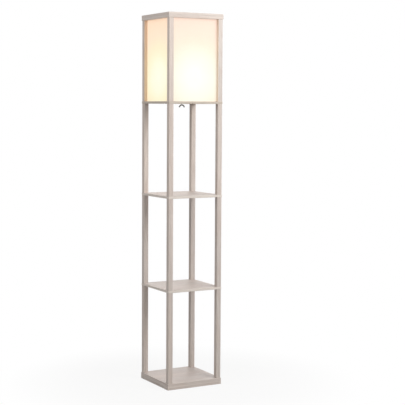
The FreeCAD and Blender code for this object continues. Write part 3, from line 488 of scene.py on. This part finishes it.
def moved(mesh, x=0.0, y=0.0, z=0.0):
    """The same mesh, shifted."""
    mesh.transform(Matrix.Translation((x, y, z)))
    return mesh


def finished_by(mesh, modifier, settings):
    """The plain mesh that a modifier makes of a mesh."""
    holder = bpy.data.objects.new("holder", mesh)
    bpy.context.scene.collection.objects.link(holder)
    added = holder.modifiers.new(modifier.lower(), modifier)
    for key, value in settings.items():
        if key.startswith("Socket_"):
            added[key] = value
        else:
            setattr(added, key, value)
    seen = holder.evaluated_get(bpy.context.evaluated_depsgraph_get())
    result = bpy.data.meshes.new_from_object(seen)
    bpy.data.objects.remove(holder)
    return result


def carved(mesh, cutter):
    """A mesh with another one cut out of it."""
    tool = bpy.data.objects.new("cutter", cutter)
    bpy.context.scene.collection.objects.link(tool)
    result = finished_by(mesh, "BOOLEAN", {"operation": "DIFFERENCE", "solver": "EXACT",
                                           "object": tool})
    bpy.data.objects.remove(tool)
    return result


class Tree:
    """A Geometry Nodes tree with named inputs, which ends in plain mesh with a finish."""

    def __init__(self, name, **inputs):
        self.tree = bpy.data.node_groups.new(name, "GeometryNodeTree")
        face = self.tree.interface
        face.new_socket(name="Geometry", in_out="OUTPUT", socket_type="NodeSocketGeometry")
        for key, kind in {"Piece": "Geometry", **inputs, "Finish": "Material"}.items():
            face.new_socket(name=key, in_out="INPUT", socket_type="NodeSocket" + kind)
        self.given = self.tree.nodes.new("NodeGroupInput").outputs

    def node(self, kind, **sockets):
        made = self.tree.nodes.new(kind)
        for key, value in sockets.items():
            socket = made.inputs[key.replace("_", " ")]
            if isinstance(value, bpy.types.NodeSocket):
                self.tree.links.new(value, socket)
            else:
                socket.default_value = value
        return made.outputs[0]

    def close(self, geometry):
        """End the tree: copies made real, and the finish set."""
        plain = self.node("GeometryNodeRealizeInstances", Geometry=geometry)
        dressed = self.node("GeometryNodeSetMaterial", Geometry=plain,
                            Material=self.given["Finish"])
        end = self.tree.nodes.new("NodeGroupOutput")
        self.tree.links.new(dressed, end.inputs["Geometry"])
        return self

    def made(self, mesh, finish, **values):
        """The plain mesh that the tree makes of a mesh with these inputs."""
        values["Finish"] = FINISHES[finish]
        settings = {"node_group": self.tree}
        for socket in self.tree.interface.items_tree:
            if socket.name in values:
                settings[socket.identifier] = values[socket.name]
        return finished_by(mesh, "NODES", settings)


def rows_tree():
    """Copies of a piece in a row."""
    tree = Tree("rows_of_copies", Start="Vector", Count="Int", Step="Vector")
    line = tree.node("GeometryNodeMeshLine", Count=tree.given["Count"],
                     Start_Location=tree.given["Start"], Offset=tree.given["Step"])
    return tree.close(tree.node("GeometryNodeInstanceOnPoints", Points=line,
                                Instance=tree.given["Piece"]))


def coil_tree():
    """A wire coil that stands at the origin."""
    tree = Tree("wire_coil", Turns="Float", Radius="Float", Height="Float", Wire="Float")
    line = tree.node("GeometryNodeCurveSpiral", Resolution=28, Rotations=tree.given["Turns"],
                     Start_Radius=tree.given["Radius"], End_Radius=tree.given["Radius"],
                     Height=tree.given["Height"])
    ring = tree.node("GeometryNodeCurvePrimitiveCircle", Resolution=10,
                     Radius=tree.given["Wire"])
    return tree.close(tree.node("GeometryNodeCurveToMesh", Curve=line, Profile_Curve=ring,
                                Fill_Caps=True))


ROWS = rows_tree()
COIL = coil_tree()


def in_rows(mesh, finish, start, count, step):
    """Copies of a mesh along a line."""
    return ROWS.made(mesh, finish, Start=start, Count=count, Step=step)


def arc(centre, radius, start, end, steps):
    """Points of an arc in (radius, height), angles in degrees from the outward direction."""
    spots = []
    for step in range(steps + 1):
        angle = math.radians(start + (end - start) * step / steps)
        spots.append((centre[0] + radius * math.cos(angle), centre[1] + radius * math.sin(angle)))
    return spots


WAVE_PHASE = {"front": 0.4, "back": 2.1, "left": 3.3, "right": 5.2}
WAVE, SAG = 0.22 * MM, 0.35 * MM


def cloth_panel(side):
    """One panel of the shade: a taut sheet between its posts' grooves, faintly waved."""
    node = "shade_panel_" + side
    low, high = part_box(node)
    across = 0 if side in ("front", "back") else 1
    through = 1 - across
    columns, rows = 48, 76
    outward = 1.0 if low[through] > 0 else -1.0
    phase = WAVE_PHASE[side]
    points, spots = [], []
    for face in (0.0, high[through] - low[through]):
        for row in range(rows + 1):
            for column in range(columns + 1):
                u, v = column / columns, row / rows
                held = math.sin(math.pi * u) ** 0.7
                wave = WAVE * held * (math.sin(5.1 * u + 3.7 * v + phase)
                                      + 0.6 * math.sin(9.0 * u - 2.2 * v + 2 * phase))
                wave -= SAG * held * math.sin(math.pi * v)
                place = Vector((0.0, 0.0, low[2] + (high[2] - low[2]) * v))
                place[across] = low[across] + (high[across] - low[across]) * u
                place[through] = low[through] + face + outward * wave
                points.append(place)
                spots.append((place[across], place[2]))
    wide, layer = columns + 1, (columns + 1) * (rows + 1)
    faces = []

    def add_face(*corners):
        faces.append(corners[::-1] if across == 1 else corners)

    for row in range(rows):
        for column in range(columns):
            a = row * wide + column
            quad = (a, a + 1, a + 1 + wide, a + wide)
            add_face(*quad)
            add_face(*(corner + layer for corner in reversed(quad)))
    rim = [*range(columns), *[columns + r * wide for r in range(rows)],
           *[rows * wide + c for c in range(columns, 0, -1)],
           *[r * wide for r in range(rows, 0, -1)]]
    for here, there in zip(rim, rim[1:] + rim[:1]):
        add_face(here, here + layer, there + layer, there)
    mesh = from_faces(points, faces)
    cloth = mesh.uv_layers.new(name="cloth")
    for loop in mesh.loops:
        cloth.data[loop.index].uv = spots[loop.vertex_index]
    name = "linen_" + side
    piece = add_piece(name, mesh, "shade_linen", "frame", node, name if name in FINISHES else None)


def scaled(profile, foot=0.0):
    """A profile in millimetres as metres, with its heights from a foot on."""
    return [(radius * MM, foot + height * MM) for radius, height in profile]


def bulb():
    """The lit bulb: screw cap with a rolled thread, plastic body and opal globe."""
    foot, rim, crown = (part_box(n) for n in ("bulb_cap", "bulb_body", "bulb_globe"))
    low, top = foot[0].z, foot[1].z
    pitch, radius, groove = 3.6 * MM, 13.1 * MM, 0.55 * MM
    start, end, turns = low + 7 * MM, top - 2.4 * MM, 96
    profile = scaled([(0.0, 0.0), (3.4, 0.0), (4.6, 0.8), (5.0, 2.4), (6.4, 2.8)], low)
    profile += [(radius - 1.2 * MM, low + 6.3 * MM)]
    profile += [(radius - groove, start + (end - start) * i / turns) for i in range(turns + 1)]
    profile += [(radius, top - 1.2 * MM), (radius, top), (0.0, top)]

    def rolled(angle, height):
        if not start <= height <= end:
            return 0.0
        calm = min(1.0, (height - start) / pitch, (end - height) / pitch)
        return groove * calm * math.sin(2 * math.pi * height / pitch - angle)

    add_piece("bulb_screw_cap", turned(profile, 72, rolled), "cap_metal", "bulb", "bulb_cap")
    low, top = rim[0].z, rim[1].z
    profile = scaled([(0.0, 0.0), (13.4, 0.0), (13.9, 0.5), (13.9, 6), (14.6, 9), (16.6, 13.5)],
                     low)
    profile += scaled([(24.6, -5), (26.2, -1.2), (26.5, -0.6), (26.2, 0.0), (0.0, 0.0)], top)
    add_piece("bulb_neck", turned(profile, 96), "bulb_plastic", "bulb", "bulb_body")
    radius = 30 * MM
    centre = crown[1].z - radius
    lean = math.degrees(math.asin((crown[0].z - centre) / radius))
    profile = [(0.0, crown[0].z)] + arc((0.0, centre), radius, lean, 89, 26) + [(0.0, crown[1].z)]
    add_piece("bulb_glass", turned(profile, 96), "bulb_opal", "bulb", "bulb_globe")


# The chain's last ball, which the handle's socket is carved round.
BALL = 1.2131
BEAD = 1.3 * MM
SOCKET = 1.65 * MM


def pull_ring():
    """The handle: a half ring of round bar with rounded ends and a socket in its crown."""
    bar, ring = 2.78 * MM, 12 * MM
    centre = BALL + 1.0 * MM - ring
    sweep, stations, sides = math.radians(82), 48, 28
    ends = [(-1.0, 0.45), (-0.985, 0.8), (-0.955, 0.95), (-0.91, 1.0)]
    inner = [(-0.91 + 1.82 * i / stations, 1.0) for i in range(1, stations)]
    places = ends + inner + [(-turn, share) for turn, share in reversed(ends)]
    points, faces = [], []
    for turn, share in places:
        angle = turn * sweep
        outward = Vector((math.sin(angle), 0.0, math.cos(angle)))
        middle = Vector((0.0, 0.0, centre)) + outward * ring
        for side in range(sides):
            around = 2 * math.pi * side / sides
            offset = outward * math.cos(around) + Vector((0, 1, 0)) * math.sin(around)
            points.append(middle + offset * bar * share)
    for row in range(len(places) - 1):
        for side in range(sides):
            after = (side + 1) % sides
            a, b = row * sides, (row + 1) * sides
            faces.append([a + side, b + side, b + after, a + after])
    faces.append(list(range(sides)))
    faces.append([(len(places) - 1) * sides + side for side in reversed(range(sides))])
    under, roof, over = BALL - 8 * MM, BALL + SOCKET, BALL + 6 * MM
    socket = turned([(0.0, under), (SOCKET, under), (SOCKET, roof), (1.1 * MM, roof),
                     (2.0 * MM, BALL + 3.5 * MM), (2.0 * MM, over), (0.0, over)], 32)
    add_piece("pull_ring", carved(from_faces(points, faces), socket), "handle_grey", "handle",
              "pull_handle")


def bead_chain():
    """The bead chain: hollow balls rolled shut round short wires."""
    length, first, gap, count = 32.6 * MM, 5.6 * MM, 3.4 * MM, 7
    ball = turned([(0.0, -BEAD)] + arc((0.0, 0.0), BEAD, -78, 78, 10) + [(0.0, BEAD)], 20)
    wire = turned([(0.0, BALL), (0.42 * MM, BALL), (0.42 * MM, BALL + length),
                   (0.0, BALL + length)], 12)
    middle = in_rows(ball, "chain_steel", (0, 0, BALL + first), count, (0, 0, gap))
    ends = in_rows(ball, "chain_steel", (0, 0, BALL), 2, (0, 0, length))
    add_piece("bead_chain", joined_meshes(middle, ends, wire), "chain_steel", "chain",
              "pull_chain")


def cross_screw():
    """A pan-head screw with a cross recess; its head's foot is at height 0."""
    head = turned(scaled([(0.0, -9.5), (1.0, -9.5), (1.75, -8.4), (1.75, 0.0), (3.35, 0.0),
                          (3.4, 0.6), (3.1, 1.15), (2.3, 1.6), (1.2, 1.78), (0.0, 1.8)]), 28)
    long, narrow, low, high = 1.9 * MM, 0.34 * MM, 0.7 * MM, 2.4 * MM
    for along, across in ((long, narrow), (narrow, long)):
        corners = [(sx * along, sy * across, z) for z in (low, high)
                   for sx, sy in ((-1, -1), (1, -1), (1, 1), (-1, 1))]
        head = carved(head, from_faces(corners, [[3, 2, 1, 0], [4, 5, 6, 7], [0, 1, 5, 4],
                                                 [1, 2, 6, 5], [2, 3, 7, 6], [3, 0, 4, 7]]))
    return head


def crossbar_screws():
    """Two screws hold the bar to the shade's floor, and two hold the hat bracket to the bar."""
    bar_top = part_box("crossbar")[1].z
    bar_end, foot, foot_top = 98.5 * MM, 28 * MM, bar_top + 1.5 * MM
    pairs = [in_rows(cross_screw(), "zinc_steel", (-out, 0, height), 2, (2 * out, 0, 0))
             for out, height in ((bar_end, bar_top), (foot, foot_top))]
    add_piece("crossbar_screws", joined_meshes(*pairs), "zinc_steel", "frame", "bar_screws")


def lamp_holder():
    """The moulded lamp holder: a bowl-shaped cup and a skirt with grip ribs."""
    wide, ribs, rib_depth = 20.5, 36, 0.5 * MM
    bowl = [(5.2, 2.0), (5.2, 0.0), (13.0, 0.0), (14.6, 0.4), (17.2, 2.2), (19.2, 4.6),
            (20.2, 7.2), (wide, 9.6), (wide, 14.6), (20.2, 15.0), (18.6, 15.0), (18.6, 10.5),
            (16.4, 10.5), (16.4, 7.0), (13.4, 4.4), (9.0, 4.0), (9.0, 2.0)]
    cup = moved(turned(scaled(bowl), 96), z=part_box("holder_cup")[0].z)
    add_piece("holder_bowl", cup, "holder_plastic", "frame", "holder_cup")
    skirt = [(18.5, 0.0), (20.3, 0.0), (wide, 0.4), (wide, 4.0), (wide, 5.0), (wide, 24.0),
             (wide, 25.0), (wide, 31.6), (20.2, 32.8), (19.4, 33.6), (18.2, 34.0), (16.2, 34.0),
             (15.6, 33.4), (15.5, 32.0), (18.5, 32.0)]

    def ribbed(angle, height):
        inside = 4.9 * MM < height < 24.1 * MM
        return -rib_depth * (0.5 + 0.5 * math.cos(ribs * angle)) if inside else 0.0

    shell = moved(turned(scaled(skirt), 8 * ribs, ribbed), z=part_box("holder_shell")[0].z)
    add_piece("holder_skirt", shell, "holder_plastic", "frame", "holder_shell")


def switch_neck():
    """The switch's brass neck: a rolled thread outside and a rounded mouth for the chain."""
    low, high = (corner.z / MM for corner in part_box("switch_neck"))
    bore, tube, flange = 1.85, 4.72, 5.68
    pitch, start, end, count = 0.9, low + 0.9, low + 7.6, 40
    rows = [start + (end - start) * row / count for row in range(count + 1)]
    profile = [(bore, low + 1.1), (bore + 0.4, low + 0.35), (bore + 1.1, low), (tube - 1.1, low),
               (tube - 0.4, low + 0.5)] + [(tube - 0.22, row) for row in rows]
    profile += [(tube, low + 8.0), (tube, high - 1.0), (flange, high - 1.0), (flange, high),
                (bore, high)]

    def rolled(angle, height):
        if not start <= height / MM <= end:
            return 0.0
        return 0.2 * MM * math.sin(2 * math.pi * height / (pitch * MM) - angle)

    neck = turned(scaled(profile), 64, rolled)
    add_piece("threaded_neck", neck, "brass", "frame", "switch_neck")


def return_spring():
    """The coil over the switch arm's tail; it shortens as the tail comes up."""
    low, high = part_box("arm_spring")
    wire = 0.17 * MM
    coil = COIL.made(bpy.data.meshes.new("empty"), "spring_steel", Turns=6.5,
                     Radius=(high.x - low.x) / 2 - wire, Height=high.z - low.z - 2 * wire,
                     Wire=wire)
    middle = (low + high) / 2
    moved(coil, middle.x, middle.y, low.z + wire)
    spring = add_piece("return_spring", coil, "spring_steel", "frame", "arm_spring")
    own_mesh(spring)


def inlet_bush():
    """The rubber bush for the mains lead: a tube with a rounded lip above and below the board."""
    low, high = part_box("cord_grommet")
    bore, tube, lip = 3.2, 4.5, 6.0
    tall = (high.z - low.z) / MM
    half = [(bore, 0.5), (bore + 0.5, 0.0), (lip - 0.5, 0.0), (lip - 0.12, 0.25), (lip, 0.7),
            (lip, 1.2), (tube, 1.2)]
    profile = half + [(radius, tall - height) for radius, height in reversed(half)]
    middle = (low + high) / 2
    bush = moved(turned(scaled(profile), 64), middle.x, middle.y, low.z)
    add_piece("inlet_bush", bush, "grommet_rubber", "frame", "cord_grommet")


# ---- stage, lamps and camera ------------------------------------------------------------------
def white_for_camera(finish):
    """1 for rays from the camera, a mirror or glass, which see plain white; 0 for light."""
    rays = finish.node("ShaderNodeLightPath").socket.node.outputs
    camera_ray, glossy_ray, glass_ray = (
        Wire(finish, rays["Is %s Ray" % kind]) for kind in ("Camera", "Glossy", "Transmission"))
    return camera_ray.most(glossy_ray).most(glass_ray)


WHITE = (1, 1, 1, 1)


def stage_floor():
    """A pale floor that fades into the white background and keeps the lamp's shadow."""
    finish = new_finish("floor_paper")
    x, y, _ = finish.split(finish.spot())
    white_share = (x * x + y * y).fade(0.03, 0.7, 0.9, 1.0)
    fleck = finish.noise(finish.spot(), scale=40.0, detail=2)
    colour = finish.mixed(fleck.fade(0.3, 0.7), paint(216, 216, 215), paint(222, 222, 221))
    paper = finish.node("ShaderNodeBsdfDiffuse", {}, {"Color": colour})
    white = finish.node("ShaderNodeEmission", {}, {"Color": WHITE, "Strength": 1.0})
    share = white_for_camera(finish) * white_share
    finish.close(finish.node("ShaderNodeMixShader", {}, {0: share, 1: paper, 2: white}))
    reach, height = 9.0, -0.5 * MM
    mesh = from_faces([(-reach, -reach, height), (reach, -reach, height),
                       (reach, reach, height), (-reach, reach, height)], [[0, 1, 2, 3]])
    mesh.materials.append(finish.owner)
    floor = bpy.data.objects.new("floor", mesh)
    bpy.context.scene.collection.objects.link(floor)


def sky():
    """An even pale room, white where the camera sees it."""
    room = Finish(bpy.data.worlds.new("room"))
    bpy.context.scene.world = room.owner
    seen = white_for_camera(room)
    soft = room.node("ShaderNodeBackground", {}, {"Color": paint(250, 250, 252), "Strength": 0.28})
    white = room.node("ShaderNodeBackground", {}, {"Color": WHITE, "Strength": 1.0})
    room.close(room.node("ShaderNodeMixShader", {}, {0: seen, 1: soft, 2: white}),
               "ShaderNodeOutputWorld")


def softbox(name, place, target, size, power, colour):
    """A large soft lamp that looks at a point."""
    lamp = bpy.data.lights.new(name, "AREA")
    lamp.shape = "RECTANGLE"
    lamp.size, lamp.size_y = size
    lamp.energy = power
    lamp.color = colour[:3]
    holder = bpy.data.objects.new(name, lamp)
    holder.location = place
    direction = Vector(target) - Vector(place)
    holder.rotation_euler = direction.to_track_quat("-Z", "Y").to_euler()
    bpy.context.scene.collection.objects.link(holder)


def lamps():
    """A key lamp in front, one on the narrow left side, and one behind for the far sides."""
    softbox("key", (0.85, -1.95, 2.15), (0, 0, 1.4), (1.4, 1.4), 45, paint(253, 252, 248))
    softbox("left_fill", (-1.6, -0.5, 2.35), (0, 0, 1.5), (1.2, 1.2), 15.5, paint(253, 250, 244))
    softbox("back_fill", (1.6, 3.6, 1.35), (0, 0, 1.2), (2.2, 2.2), 27, paint(252, 250, 250))


# The photograph's camera, fitted to the corners of cap, base and boards; the last two in pixels
# of a square picture of this many.
PICTURE = 405
EYE = Vector((-2.326, -4.360, 1.200))
LOOK_TURN = math.radians(29.143)
LOOK_DOWN = math.radians(4.329)
ROLL = math.radians(0.327)
FOCUS = 1138.3
RISE = -8.0


def camera():
    """The photograph's view: its place, its tilt and its lens."""
    across = Vector((math.cos(LOOK_TURN), -math.sin(LOOK_TURN), 0.0))
    ahead = Vector((math.sin(LOOK_TURN) * math.cos(LOOK_DOWN),
                    math.cos(LOOK_TURN) * math.cos(LOOK_DOWN), -math.sin(LOOK_DOWN)))
    up = across.cross(ahead)
    right = across * math.cos(ROLL) + up * math.sin(ROLL)
    over = up * math.cos(ROLL) - across * math.sin(ROLL)
    lens = bpy.data.cameras.new("view")
    lens.sensor_width = 36.0
    lens.lens = FOCUS * lens.sensor_width / PICTURE
    lens.shift_y = RISE / PICTURE
    eye = bpy.data.objects.new("view", lens)
    turn = Matrix((right, over, -ahead)).transposed()
    eye.matrix_world = Matrix.Translation(EYE) @ turn.to_4x4()
    bpy.context.scene.collection.objects.link(eye)
    bpy.context.scene.camera = eye


dress_nodes()
for panel in ("front", "right", "back", "left"):
    cloth_panel(panel)
bulb()
lamp_holder()
switch_neck()
crossbar_screws()
return_spring()
inlet_bush()
bead_chain()
pull_ring()
stage_floor()
sky()
lamps()
camera()
bpy.context.scene.view_settings.view_transform = "Standard"
